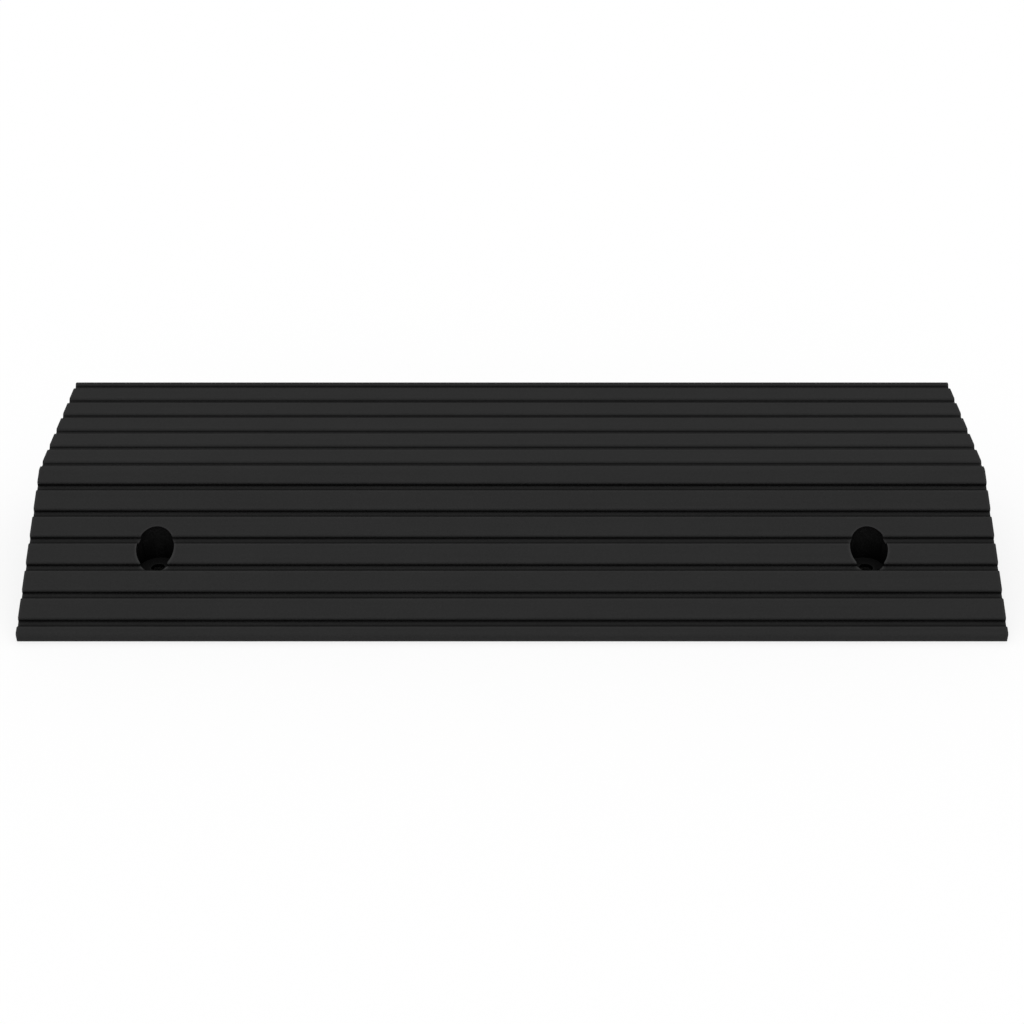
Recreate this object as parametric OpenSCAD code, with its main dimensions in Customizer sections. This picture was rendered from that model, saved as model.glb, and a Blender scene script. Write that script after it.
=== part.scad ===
// Threshold ramp: one ribbed rubber moulding with a cored underside, held down through two
// counterbored fixing holes, each stiffened by a steel seat plate and a steel sleeve moulded into it.
// Origin: middle of the base. +X runs along the step, +Y from the low front lip to the high back face, +Z up.

/* [Ramp] */
// Length along the step
ramp_l = 1000; // [600:10:1400]
// Depth from the front lip to the back face
ramp_d = 320; // [280:5:400]
// Height of the back edge
ramp_h = 137; // [125:1:160]
// Height of the front lip
lip_h = 9; // [6:0.2:12]
// Radius on the front lip's upper edge
lip_r = 4; // [1:0.5:6]
// Depth of the steep front slope, up to the crest line
slope_d = 150; // [130:1:170]
// Height of the crest line, where the two slopes would meet
crest_h = 116; // [100:0.5:120]
// Radius that blends the two slopes at the crest
crest_r = 8; // [6:1:60]
// Radius on the upper edge of the back face
back_r = 2.5; // [1:0.5:5]

/* [Tread] */
// Distance between neighbouring grooves, along the tread
groove_pitch = 30.3; // [24:0.1:40]
// Distance from the front lip to the first groove's middle, along the tread
groove_start = 11.9; // [11:0.1:20]
// Width of a groove's floor
groove_w = 5.7; // [4:0.1:9]
// Depth of a groove
groove_t = 3.2; // [2:0.1:5]
// Lean of a groove's uphill wall over its depth, so that the mould lifts off
groove_draft = 2; // [0:0.1:3]
// Radius on the ridges' edges
ridge_r = 2.2; // [0.5:0.1:3]
// Radius in the grooves' corners
root_r = 0.8; // [0.2:0.1:1]

/* [Fixing holes] */
// Distance of each fixing hole from its end of the ramp
hole_inset = 131.5; // [100:0.5:180]
// Distance of the fixing holes behind the front lip
hole_setback = 77; // [70:1:90]
// Diameter of the counterbore that sinks the bolt head
counterbore_dia = 39; // [30:0.5:44]
// Height of the counterbore's floor above the base
seat_h = 39.5; // [32:0.5:44]
// Diameter of the bolt hole
bolt_hole_dia = 14; // [10:0.5:16]
// Wall of the boss round each counterbore
boss_wall_t = 14; // [10:1:20]

/* [Steel inserts] */
// Diameter of the seat plate under the counterbore's floor
plate_dia = 50; // [45:1:60]
// Thickness of the seat plate
plate_t = 4; // [3:0.5:6]
// Thickness of the rubber over the seat plate
plate_cover_t = 4; // [3:0.5:6]
// Wall of the sleeve that lines the bolt hole
sleeve_wall_t = 4; // [2.5:0.5:6]
// Thickness of the bonding coat between steel and rubber
bond_t = 0.1; // [0.05:0.05:0.2]

/* [Underside] */
// Thickness of the rubber between the tread and the pockets
skin_t = 26; // [18:1:32]
// Depth of the solid toe behind the front lip
toe_d = 60; // [55:1:70]
// Thickness of the back wall
back_wall_t = 28; // [20:1:40]
// Thickness of the end walls
end_wall_t = 34; // [20:1:50]
// Thickness of the ribs between the pockets
rib_t = 16; // [12:1:24]
// Pockets along the length
pocket_columns = 9; // [7:1:12]
// Pockets across the depth
pocket_rows = 3; // [2:1:4]
// Radius in the pockets' upright corners
pocket_r = 9; // [4:1:12]

/* [Hidden] */
$fn = 64;
// Extra length of every cut past the face it opens
overrun = 1;
// Straight steps in an outline's small radii and in the crest's radius
fillet_steps = 6;
crest_steps = 8;
// Most of a groove's depth that its ridge edges' radius may take
ridge_round_share = 0.75;

// Angles of the two slopes, and the turn between them
front_a = atan2(crest_h - lip_h, slope_d);
top_a = atan2(ramp_h - crest_h, ramp_d - slope_d);
turn_a = front_a - top_a;
// Lengths of the steep slope, the crest's arc and the top slope along the tread
crest_cut = crest_r * tan(turn_a / 2);
front_len = norm([slope_d, crest_h - lip_h]) - crest_cut;
arc_len = crest_r * turn_a * PI / 180;
top_len = norm([ramp_d - slope_d, ramp_h - crest_h]) - crest_cut;
tread_len = front_len + arc_len + top_len;

// Reach of a groove downhill and uphill from its middle, its radii held to what its depth can take
ridge_round = min(ridge_r, groove_t * ridge_round_share);
root_round = min(root_r, groove_t - ridge_round);
groove_down = groove_w / 2 + ridge_round;
groove_up = groove_down + groove_draft;
groove_count = 1 + floor((tread_len - groove_start - groove_up - back_r) / groove_pitch);

// Pocket sizes that fill the base between the walls and ribs
pocket_w = (ramp_l - 2 * end_wall_t - (pocket_columns - 1) * rib_t) / pocket_columns;
pocket_d = (ramp_d - toe_d - back_wall_t - (pocket_rows - 1) * rib_t) / pocket_rows;

// Heights of the insert's parts above the base
plate_top = seat_h - plate_cover_t;
plate_base = plate_top - plate_t;
sleeve_dia = bolt_hole_dia + 2 * sleeve_wall_t;

// Unit vectors along a slope of angle a, and square to it, upwards
function along(a) = [cos(a), sin(a)];
function above(a) = [-sin(a), cos(a)];

// Points of an arc round a centre, from direction a0 to a1
function arc(centre, r, a0, a1, steps) =
    [for (i = [0:steps]) centre + r * along(a0 + (a1 - a0) * i / steps)];

// Points that round a right-hand turn at a corner, from heading a_in to a_out
function rounded_turn(corner, a_in, a_out, r, steps) =
    let (start = corner - r * tan((a_in - a_out) / 2) * along(a_in))
    arc(start - r * above(a_in), r, a_in + 90, a_out + 90, steps);

// Slope of the tread and its point, s along it from the front lip
function tread_angle(s) =
    front_a - turn_a * max(0, min(1, (s - front_len) / arc_len));
function tread_point(s) =
    let (
        lip = [0, lip_h],
        arc_start = lip + front_len * along(front_a),
        centre = arc_start - crest_r * above(front_a),
        past = s - front_len - arc_len
    )
    s <= front_len ? lip + s * along(front_a)
    : centre + crest_r * above(tread_angle(s)) + max(0, past) * along(top_a);

// Point at height n over the tread
function on_tread(s, n) = tread_point(s) + n * above(tread_angle(s));

// Outline of one groove as [along, height] pairs: ridge edge, wall and floor, then the same mirrored,
// leaning outwards
function half_groove() = concat(
    arc([-groove_down, -ridge_round], ridge_round, 90, 0, fillet_steps),
    arc([root_round - groove_w / 2, root_round - groove_t], root_round, 180, 270, fillet_steps)
);
function groove_outline() =
    let (half = half_groove())
    concat(half, [
        for (i = [len(half) - 1:-1:0])
            let (p = half[i])
            [groove_draft * (1 + p.y / groove_t) - p.x, p.y]
    ]);

// Middle of groove k along the tread
function groove_at(k) = groove_start + k * groove_pitch;

// Points of the crest's arc that lie between two places along the tread
function crest_points(from, to) = [
    for (i = [0:crest_steps])
        let (s = front_len + arc_len * i / crest_steps)
        if (s > from && s < to) tread_point(s)
];

// Outline of the grooved side view, from the front lip to the back face
function tread_outline() = [
    for (k = [0:groove_count - 1])
        let (ridge_end = k < groove_count - 1 ? groove_at(k + 1) - groove_down : tread_len)
        each concat(
            k == 0 ? crest_points(0, groove_at(0) - groove_down) : [],
            [for (p = groove_outline()) on_tread(groove_at(k) + p.x, p.y)],
            crest_points(groove_at(k) + groove_up, ridge_end)
        )
];
function side_outline() = concat(
    [[0, 0]],
    rounded_turn([0, lip_h], 90, front_a, lip_r, fillet_steps),
    tread_outline(),
    rounded_turn([ramp_d, ramp_h], top_a, -90, back_r, fillet_steps),
    [[ramp_d, 0]]
);

// Outline of the space under the skin, open at the base, its bend rounded as the pockets' corners are
function roof_outline() =
    let (
        first = on_tread(0, -skin_t),
        last = on_tread(tread_len, -skin_t),
        crest = [slope_d, crest_h],
        bend = crest - skin_t / cos(turn_a / 2) * above((front_a + top_a) / 2)
    )
    concat(
        [[first.x, min(first.y, 0) - overrun], first],
        rounded_turn(bend, front_a, top_a, pocket_r, fillet_steps),
        [last, [last.x, min(first.y, 0) - overrun]]
    );

// Rectangle with round corners, from its lowest corner
function rounded_rectangle(w, d, r) = concat(
    arc([w - r, d - r], r, 0, 90, fillet_steps),
    arc([r, d - r], r, 90, 180, fillet_steps),
    arc([r, r], r, 180, 270, fillet_steps),
    arc([w - r, r], r, 270, 360, fillet_steps)
);

// Runs a side view along the whole length
module along_length() {
    translate([-ramp_l / 2, -ramp_d / 2, 0])
        rotate([90, 0, 90])
            linear_extrude(ramp_l) children();
}

// Places its children on the base at the left (-1) or right (1) fixing hole
module at_hole(side) {
    translate([side * (ramp_l / 2 - hole_inset), hole_setback - ramp_d / 2, 0]) children();
}

// Blind pockets in rows and columns, with round corners and a roof that follows the tread
module pockets() {
    intersection() {
        translate([end_wall_t - ramp_l / 2, toe_d - ramp_d / 2, -overrun])
            linear_extrude(ramp_h)
                for (column = [0:pocket_columns - 1], row = [0:pocket_rows - 1])
                    translate([column * (pocket_w + rib_t), row * (pocket_d + rib_t)])
                        polygon(rounded_rectangle(pocket_w, pocket_d, pocket_r));
        along_length() polygon(roof_outline());
    }
}

// Solid boss left standing in the pockets round a fixing hole
module boss() {
    translate([0, 0, -overrun])
        cylinder(d = counterbore_dia + 2 * boss_wall_t, h = ramp_h);
}

// Counterbore and bolt hole, with the seats of the steel inserts
module fixing_cut() {
    translate([0, 0, seat_h]) cylinder(d = counterbore_dia, h = ramp_h);
    translate([0, 0, -overrun]) cylinder(d = bolt_hole_dia, h = ramp_h);
    translate([0, 0, plate_base - bond_t]) cylinder(d = plate_dia + 2 * bond_t, h = plate_t + 2 * bond_t);
    translate([0, 0, -overrun]) cylinder(d = sleeve_dia + 2 * bond_t, h = plate_base + overrun);
}

module ramp_body() {
    color("#2d2d2d")
        difference() {
            along_length() polygon(side_outline());
            difference() {
                pockets();
                for (side = [-1, 1]) at_hole(side) boss();
            }
            for (side = [-1, 1]) at_hole(side) fixing_cut();
        }
}

// Flat steel ring under the counterbore's floor, which spreads the bolt's pull
module seat_plate() {
    color("silver")
        translate([0, 0, plate_base])
            difference() {
                cylinder(d = plate_dia, h = plate_t);
                translate([0, 0, -overrun]) cylinder(d = bolt_hole_dia, h = plate_t + 2 * overrun);
            }
}

// Steel tube that stands on the ground under the seat plate, so that the bolt can't crush the rubber
module bolt_sleeve() {
    color("silver")
        difference() {
            cylinder(d = sleeve_dia, h = plate_base);
            translate([0, 0, -overrun]) cylinder(d = bolt_hole_dia, h = plate_base + 2 * overrun);
        }
}

ramp_body();
at_hole(-1) seat_plate();  // left_seat_plate
at_hole(1) seat_plate();  // right_seat_plate
at_hole(-1) bolt_sleeve();  // left_bolt_sleeve
at_hole(1) bolt_sleeve();  // right_bolt_sleeve
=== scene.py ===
"""Looks of a ribbed rubber threshold ramp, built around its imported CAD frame, in metres."""

import math

import bmesh
import bpy
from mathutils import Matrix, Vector
from mathutils.bvhtree import BVHTree


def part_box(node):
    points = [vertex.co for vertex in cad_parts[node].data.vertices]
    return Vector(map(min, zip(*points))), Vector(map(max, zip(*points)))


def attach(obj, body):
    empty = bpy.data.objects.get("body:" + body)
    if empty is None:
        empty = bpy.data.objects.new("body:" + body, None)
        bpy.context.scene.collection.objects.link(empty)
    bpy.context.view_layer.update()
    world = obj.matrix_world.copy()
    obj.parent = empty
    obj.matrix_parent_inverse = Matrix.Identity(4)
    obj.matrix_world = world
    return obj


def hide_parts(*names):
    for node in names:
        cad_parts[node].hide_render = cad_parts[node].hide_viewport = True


# Camera, worked out from the photograph: picture width and focal length in pixels, place and tilt
PHOTO_PX = 1024
FOCAL_PX = 1484
CAMERA_PLACE = (0, -1.38306, 0.87538)
CAMERA_TILT_DEG = 30.6
# Width of the sensor, which only sets the unit of the lens
SENSOR_MM = 36

# White of the floor and the sky
WHITE = (1, 1, 1, 1)
# Floor: it lies a hair below the base so that the two surfaces don't fight
FLOOR_SIZE = 24
FLOOR_DROP = 0.0002
# Colour that throws light back, and the share of the floor's white that is lit and so can hold a shadow
GROUND_COLOUR = (0.9, 0.9, 0.9, 1)
SHADOW_SHARE = 0.3
# Margin inside the base's outline of the ground that the ramp covers, which no light reaches
COVERED_MARGIN = 0.004
# Sky: its light at the horizon and overhead, and what it lacks on the two sides
SKY_LOW = 1.1
SKY_HIGH = 1.3
SIDE_LOSS = 0.8

# Edges of the moulding: what counts as flat, what counts as an edge, and the round that it gets
WELD = 0.000005
FLAT_DEG = 0.05
EDGE_DEG = 40
EDGE_R = 0.0006
EDGE_STEPS = 3
ROUND_PROFILE = 0.5
SMOOTH_DEG = 32
# Faces seen from below: their mark, the look's tilt out from a face, its start, and what counts as facing up
UNDERSIDE = "underside"
LOOK_TILT_DEG = 30
LOOK_GAP = 0.0001
FACES_UP = 0.5

# Rubber: its colour where it is open to the sky, the painted shade colour it goes to where sheltered, and
# its finish
RUBBER_COLOUR = (0.0257, 0.0257, 0.0257, 1)
PAINTED_SHADE_COLOUR = (0.002, 0.002, 0.002, 1)
RUBBER_ROUGHNESS = (0.66, 0.78)
RUBBER_SPECULAR = 0.015
# Painted shade in holes and in corners: how far it reaches, how strong it is, and the rays that find it
HOLE_REACH = 0.06
HOLE_STRENGTH = 180
HIDDEN_POWER = 3.5
CORNER_REACH = 0.004
CORNER_POWER = 3.5
SHELTER_SAMPLES = 8
# Painted light keeps level floors paler within the painted shade: how level a face is where it starts, and
# the tone of a level floor
LEVEL_LIGHT_START = 0.85
LEVEL_LIGHT_SHARE = 0.3
# Wear pales the edges: how far in from them, how much at most, and the size of its patches
WEAR_REACH = 0.003
WEAR_TONE = 2.4
WEAR_SIZE = 0.03
# Grain of the rubber, its slow change of tone and the flow marks along its length: size and strength
GRAIN_SIZE = 0.0011
GRAIN_TONE = 0.25
GRAIN_DEPTH = 0.00015
MOTTLE_SIZE = 0.07
MOTTLE_TONE = 0.06
FLOW_SIZE = (0.16, 0.004, 0.004)
FLOW_TONE = 0.05
# Finer layers within a pattern of grains or marks, and within one of patches
GRAIN_LAYERS = 2
PATCH_LAYERS = 3

# Zinc plate: its colour, its painted shade colour, its crystals' size and its roughness
STEEL_COLOUR = (0.55, 0.56, 0.57, 1)
STEEL_SHADE_COLOUR = (0.01, 0.0095, 0.009, 1)
SPANGLE_SIZE = 0.004
STEEL_ROUGHNESS = (0.35, 0.6)
# Painted shade where the steel is shut in, which also makes it less metallic: how far it reaches and how
# strong it is
STEEL_SHADE_REACH = 0.03
STEEL_SHADE_POWER = 3


def new_material(name):
    """New node material, its node tree and its Principled shader."""
    material = bpy.data.materials.new(name)
    material.use_nodes = True
    tree = material.node_tree
    return material, tree, tree.nodes["Principled BSDF"]


def noise(tree, size, layers):
    """Noise between 0 and 1 over the object; size is one length, or one for each axis."""
    sizes = size if isinstance(size, tuple) else (size, size, size)
    place = tree.nodes.new("ShaderNodeTexCoord")
    scale = tree.nodes.new("ShaderNodeMapping")
    scale.inputs["Scale"].default_value = [1 / length for length in sizes]
    tree.links.new(place.outputs["Object"], scale.inputs["Vector"])
    texture = tree.nodes.new("ShaderNodeTexNoise")
    texture.inputs["Scale"].default_value = 1
    texture.inputs["Detail"].default_value = layers
    tree.links.new(scale.outputs["Vector"], texture.inputs["Vector"])
    return texture.outputs["Fac"]


def to_range(tree, value, low, high, start=0):
    """A value between start and 1, spread from low to high."""
    spread = tree.nodes.new("ShaderNodeMapRange")
    spread.inputs["From Min"].default_value = start
    spread.inputs["To Min"].default_value = low
    spread.inputs["To Max"].default_value = high
    tree.links.new(value, spread.inputs["Value"])
    return spread.outputs["Result"]


def math_node(tree, operation, value, other):
    """One operation on two values; other is a socket or a number."""
    node = tree.nodes.new("ShaderNodeMath")
    node.operation = operation
    tree.links.new(value, node.inputs[0])
    if isinstance(other, (int, float)):
        node.inputs[1].default_value = other
    else:
        tree.links.new(other, node.inputs[1])
    return node.outputs[0]


def mixed(tree, share, colour, other):
    """Colour that goes from one to another, and past it where the share is over 1."""
    mix = tree.nodes.new("ShaderNodeMix")
    mix.data_type = "RGBA"
    mix.clamp_factor = False
    mix.inputs["A"].default_value = colour
    mix.inputs["B"].default_value = other
    tree.links.new(share, mix.inputs["Factor"])
    return mix.outputs["Result"]


def openness(tree, reach, own_sides=True):
    """Node whose AO is 1 on an open face, and less the more its own or any sides shut it in within reach."""
    shade = tree.nodes.new("ShaderNodeAmbientOcclusion")
    shade.samples = SHELTER_SAMPLES
    shade.only_local = own_sides
    shade.inputs["Distance"].default_value = reach
    return shade


def level_floor_light(tree):
    """0 on steep and upright faces, rising to a level face's share of painted light, which lifts the painted
    shade there.
    """
    face = tree.nodes.new("ShaderNodeNewGeometry")
    facing = tree.nodes.new("ShaderNodeSeparateXYZ")
    tree.links.new(face.outputs["Normal"], facing.inputs["Vector"])
    return to_range(tree, facing.outputs["Z"], 0, LEVEL_LIGHT_SHARE, LEVEL_LIGHT_START)


def painted_shading(tree):
    """Painted shade: 1 on open rubber, less in corners and where it is shut in and hidden from above and
    below.
    """
    around = openness(tree, HOLE_REACH)
    overhead = openness(tree, HOLE_REACH)
    up = tree.nodes.new("ShaderNodeCombineXYZ")
    up.inputs["Z"].default_value = 1
    tree.links.new(up.outputs["Vector"], overhead.inputs["Normal"])
    shut_in = to_range(tree, around.outputs["AO"], HOLE_STRENGTH, 0)
    hidden = math_node(tree, "POWER", to_range(tree, overhead.outputs["AO"], 1, 0), HIDDEN_POWER)
    from_above = to_range(tree, math_node(tree, "MULTIPLY", shut_in, hidden), 1, 0)
    from_below = tree.nodes.new("ShaderNodeAttribute")
    from_below.attribute_name = UNDERSIDE
    # Faces seen from below, as the pockets are, get no painted shade
    open_share = math_node(tree, "MAXIMUM", from_above, from_below.outputs["Fac"])
    corner = math_node(tree, "POWER", openness(tree, CORNER_REACH).outputs["AO"], CORNER_POWER)
    return math_node(tree, "MULTIPLY", open_share, corner)


def worn_edges(tree):
    """0 on flat and hollow faces, and more the sharper an edge is, in patches."""
    inner = openness(tree, WEAR_REACH)
    inner.inside = True
    edge = to_range(tree, inner.outputs["AO"], 1, 0)
    return math_node(tree, "MULTIPLY", edge, noise(tree, WEAR_SIZE, PATCH_LAYERS))


def black_rubber():
    """Matte moulded rubber: grain, flow marks along the length, pale worn edges, and painted shade that
    makes it blacker where sheltered, lifted by painted light on level floors.
    """
    material, tree, shader = new_material("black_rubber")
    grain = noise(tree, GRAIN_SIZE, GRAIN_LAYERS)
    # Painted shade in corners and sheltered places, kept paler on level floors by painted light
    tone = math_node(tree, "MAXIMUM", painted_shading(tree), level_floor_light(tree))
    for pattern, strength in (
        (grain, GRAIN_TONE),
        (noise(tree, MOTTLE_SIZE, PATCH_LAYERS), MOTTLE_TONE),
        (noise(tree, FLOW_SIZE, GRAIN_LAYERS), FLOW_TONE),
    ):
        tone = math_node(tree, "MULTIPLY", tone, to_range(tree, pattern, 1 - strength, 1 + strength))
    tone = math_node(tree, "MULTIPLY", tone, to_range(tree, worn_edges(tree), 1, 1 + WEAR_TONE))
    # The base colour goes towards the painted shade colour as the tone falls
    tree.links.new(mixed(tree, tone, PAINTED_SHADE_COLOUR, RUBBER_COLOUR), shader.inputs["Base Color"])
    tree.links.new(to_range(tree, grain, *RUBBER_ROUGHNESS), shader.inputs["Roughness"])
    shader.inputs["Specular IOR Level"].default_value = RUBBER_SPECULAR
    bump = tree.nodes.new("ShaderNodeBump")
    bump.inputs["Distance"].default_value = GRAIN_DEPTH
    tree.links.new(grain, bump.inputs["Height"])
    tree.links.new(bump.outputs["Normal"], shader.inputs["Normal"])
    return material


def zinc_steel():
    """Zinc plated steel: crystals that differ in gloss, and painted shade, dark and not metallic, where it
    is shut in.
    """
    material, tree, shader = new_material("zinc_steel")
    spangle = tree.nodes.new("ShaderNodeTexVoronoi")
    spangle.inputs["Scale"].default_value = 1 / SPANGLE_SIZE
    place = tree.nodes.new("ShaderNodeTexCoord")
    tree.links.new(place.outputs["Object"], spangle.inputs["Vector"])
    crystal = tree.nodes.new("ShaderNodeSeparateColor")
    tree.links.new(spangle.outputs["Color"], crystal.inputs["Color"])
    # Painted shade: darker and less metallic where the steel's own or any sides shut it in
    unshaded_steel = math_node(tree, "POWER", openness(tree, STEEL_SHADE_REACH, False).outputs["AO"], STEEL_SHADE_POWER)
    tree.links.new(mixed(tree, unshaded_steel, STEEL_SHADE_COLOUR, STEEL_COLOUR), shader.inputs["Base Color"])
    tree.links.new(to_range(tree, crystal.outputs["Red"], *STEEL_ROUGHNESS), shader.inputs["Roughness"])
    tree.links.new(unshaded_steel, shader.inputs["Metallic"])
    return material


def seen_directly(tree):
    """Light path value that is 1 for what the camera, a reflection or a glass sees."""
    path = tree.nodes.new("ShaderNodeLightPath")
    either = math_node(tree, "MAXIMUM", path.outputs["Is Camera Ray"], path.outputs["Is Glossy Ray"])
    return math_node(tree, "MAXIMUM", either, path.outputs["Is Transmission Ray"])


def floor_material():
    """White where it is seen, with the object's soft shadow, and a pale ground for the light it bounces."""
    material = bpy.data.materials.new("floor")
    material.use_nodes = True
    tree = material.node_tree
    tree.nodes.clear()
    glow = tree.nodes.new("ShaderNodeEmission")
    glow.inputs["Strength"].default_value = 1
    lit = tree.nodes.new("ShaderNodeBsdfDiffuse")
    lit.inputs["Color"].default_value = WHITE
    white = tree.nodes.new("ShaderNodeMixShader")
    white.inputs["Fac"].default_value = SHADOW_SHARE
    tree.links.new(glow.outputs[0], white.inputs[1])
    tree.links.new(lit.outputs[0], white.inputs[2])
    ground = tree.nodes.new("ShaderNodeBsdfDiffuse")
    ground.inputs["Color"].default_value = GROUND_COLOUR
    choice = tree.nodes.new("ShaderNodeMixShader")
    tree.links.new(seen_directly(tree), choice.inputs["Fac"])
    tree.links.new(ground.outputs[0], choice.inputs[1])
    tree.links.new(white.outputs[0], choice.inputs[2])
    output = tree.nodes.new("ShaderNodeOutputMaterial")
    tree.links.new(choice.outputs[0], output.inputs["Surface"])
    return material


def covered_material():
    """Plain pale ground, which stays dark under the ramp."""
    material, _, shader = new_material("covered_ground")
    shader.inputs["Base Color"].default_value = GROUND_COLOUR
    shader.inputs["Roughness"].default_value = 1
    return material


def make_floor(box):
    """White floor of nine faces, with the patch that the ramp covers as the middle one."""
    low, high = box
    half = FLOOR_SIZE / 2
    columns = [-half, low.x + COVERED_MARGIN, high.x - COVERED_MARGIN, half]
    rows = [-half, low.y + COVERED_MARGIN, high.y - COVERED_MARGIN, half]
    points = [(x, y, -FLOOR_DROP) for y in rows for x in columns]
    step = len(columns)
    faces = [
        (first, first + 1, first + 1 + step, first + step)
        for row in range(len(rows) - 1)
        for first in range(row * step, row * step + step - 1)
    ]
    middle = len(faces) // 2
    mesh = bpy.data.meshes.new("floor")
    mesh.from_pydata(points, [], faces)
    mesh.materials.append(floor_material())
    mesh.materials.append(covered_material())
    mesh.polygons[middle].material_index = 1
    floor = bpy.data.objects.new("floor", mesh)
    bpy.context.collection.objects.link(floor)


def make_sky():
    """White where it is seen, and soft white light from all round, more overhead and less at the sides."""
    world = bpy.data.worlds.new("sky")
    world.use_nodes = True
    tree = world.node_tree
    place = tree.nodes.new("ShaderNodeTexCoord")
    axes = tree.nodes.new("ShaderNodeSeparateXYZ")
    tree.links.new(place.outputs["Generated"], axes.inputs["Vector"])
    height = math_node(tree, "MULTIPLY", axes.outputs["Z"], axes.outputs["Z"])
    sideways = math_node(tree, "MULTIPLY", axes.outputs["X"], axes.outputs["X"])
    loss = to_range(tree, sideways, 0, SIDE_LOSS)
    light = math_node(tree, "SUBTRACT", to_range(tree, height, SKY_LOW, SKY_HIGH), loss)
    level = tree.nodes.new("ShaderNodeMix")
    level.inputs["B"].default_value = 1
    tree.links.new(seen_directly(tree), level.inputs["Factor"])
    tree.links.new(light, level.inputs["A"])
    background = tree.nodes["Background"]
    background.inputs["Color"].default_value = WHITE
    tree.links.new(level.outputs["Result"], background.inputs["Strength"])
    bpy.context.scene.world = world


def make_camera():
    """Camera at the photograph's place, facing along the ramp's depth and tilted down."""
    camera = bpy.data.cameras.new("camera")
    camera.sensor_fit = "HORIZONTAL"
    camera.sensor_width = SENSOR_MM
    camera.lens = SENSOR_MM * FOCAL_PX / PHOTO_PX
    holder = bpy.data.objects.new("camera", camera)
    holder.location = CAMERA_PLACE
    holder.rotation_euler = (math.radians(90 - CAMERA_TILT_DEG), 0, 0)
    bpy.context.collection.objects.link(holder)
    bpy.context.scene.camera = holder


def dress(node, material):
    """Give a CAD node its one material."""
    node.data.materials.clear()
    node.data.materials.append(material)


def is_outer_edge(edge, box):
    """True for the sharp edges round the two ends and the base, the pockets' rims among them."""
    low, high = box
    if edge.calc_face_angle(0) < math.radians(EDGE_DEG):
        return False
    points = [vert.co for vert in edge.verts]
    on_end = any(all(abs(point.x - x) < WELD for point in points) for x in (low.x, high.x))
    return on_end or all(abs(point.z - low.z) < WELD for point in points)


def mark_underside(edit):
    """Mark each face 1 where it is seen from below, as the pockets are, and 0 elsewhere."""
    shape = BVHTree.FromBMesh(edit)
    mark = edit.faces.layers.float.new(UNDERSIDE)
    tilt = math.tan(math.radians(LOOK_TILT_DEG))
    for face in edit.faces:
        look = Vector((face.normal.x * tilt, face.normal.y * tilt, -1))
        start = face.calc_center_median() + face.normal * LOOK_GAP
        open_below = shape.ray_cast(start, look)[0] is None
        face[mark] = open_below and face.normal.z < FACES_UP


def rounded_moulding(node, box, material):
    """Copy of the CAD body with its sharp outer edges rounded as a moulding's are."""
    edit = bmesh.new()
    edit.from_mesh(node.data)
    bmesh.ops.remove_doubles(edit, verts=edit.verts, dist=WELD)
    bmesh.ops.dissolve_limit(edit, angle_limit=math.radians(FLAT_DEG), verts=edit.verts, edges=edit.edges)
    bmesh.ops.bevel(
        edit,
        geom=[edge for edge in edit.edges if is_outer_edge(edge, box)],
        offset=EDGE_R,
        offset_type="OFFSET",
        affect="EDGES",
        segments=EDGE_STEPS,
        profile=ROUND_PROFILE,
        clamp_overlap=False,
    )
    edit.normal_update()
    mark_underside(edit)
    mesh = bpy.data.meshes.new("ramp_moulding")
    edit.to_mesh(mesh)
    edit.free()
    for face in mesh.polygons:
        face.use_smooth = True
    mesh.set_sharp_from_angle(angle=math.radians(SMOOTH_DEG))
    mesh.materials.append(material)
    moulding = bpy.data.objects.new("ramp_moulding", mesh)
    bpy.context.collection.objects.link(moulding)
    even = moulding.modifiers.new("even_normals", "WEIGHTED_NORMAL")
    even.keep_sharp = True
    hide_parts("ramp_body")
    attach(moulding, "root")


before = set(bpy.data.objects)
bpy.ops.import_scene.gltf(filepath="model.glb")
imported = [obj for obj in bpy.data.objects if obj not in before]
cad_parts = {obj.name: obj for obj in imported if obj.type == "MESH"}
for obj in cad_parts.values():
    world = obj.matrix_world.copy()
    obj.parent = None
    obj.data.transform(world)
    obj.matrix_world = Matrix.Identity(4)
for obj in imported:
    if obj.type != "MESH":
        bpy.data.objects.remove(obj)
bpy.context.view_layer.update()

rubber = black_rubber()
steel = zinc_steel()
for name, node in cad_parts.items():
    dress(node, rubber if name == "ramp_body" else steel)
rounded_moulding(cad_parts["ramp_body"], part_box("ramp_body"), rubber)

make_floor(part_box("ramp_body"))
make_sky()
make_camera()
bpy.context.scene.view_settings.view_transform = "Standard"
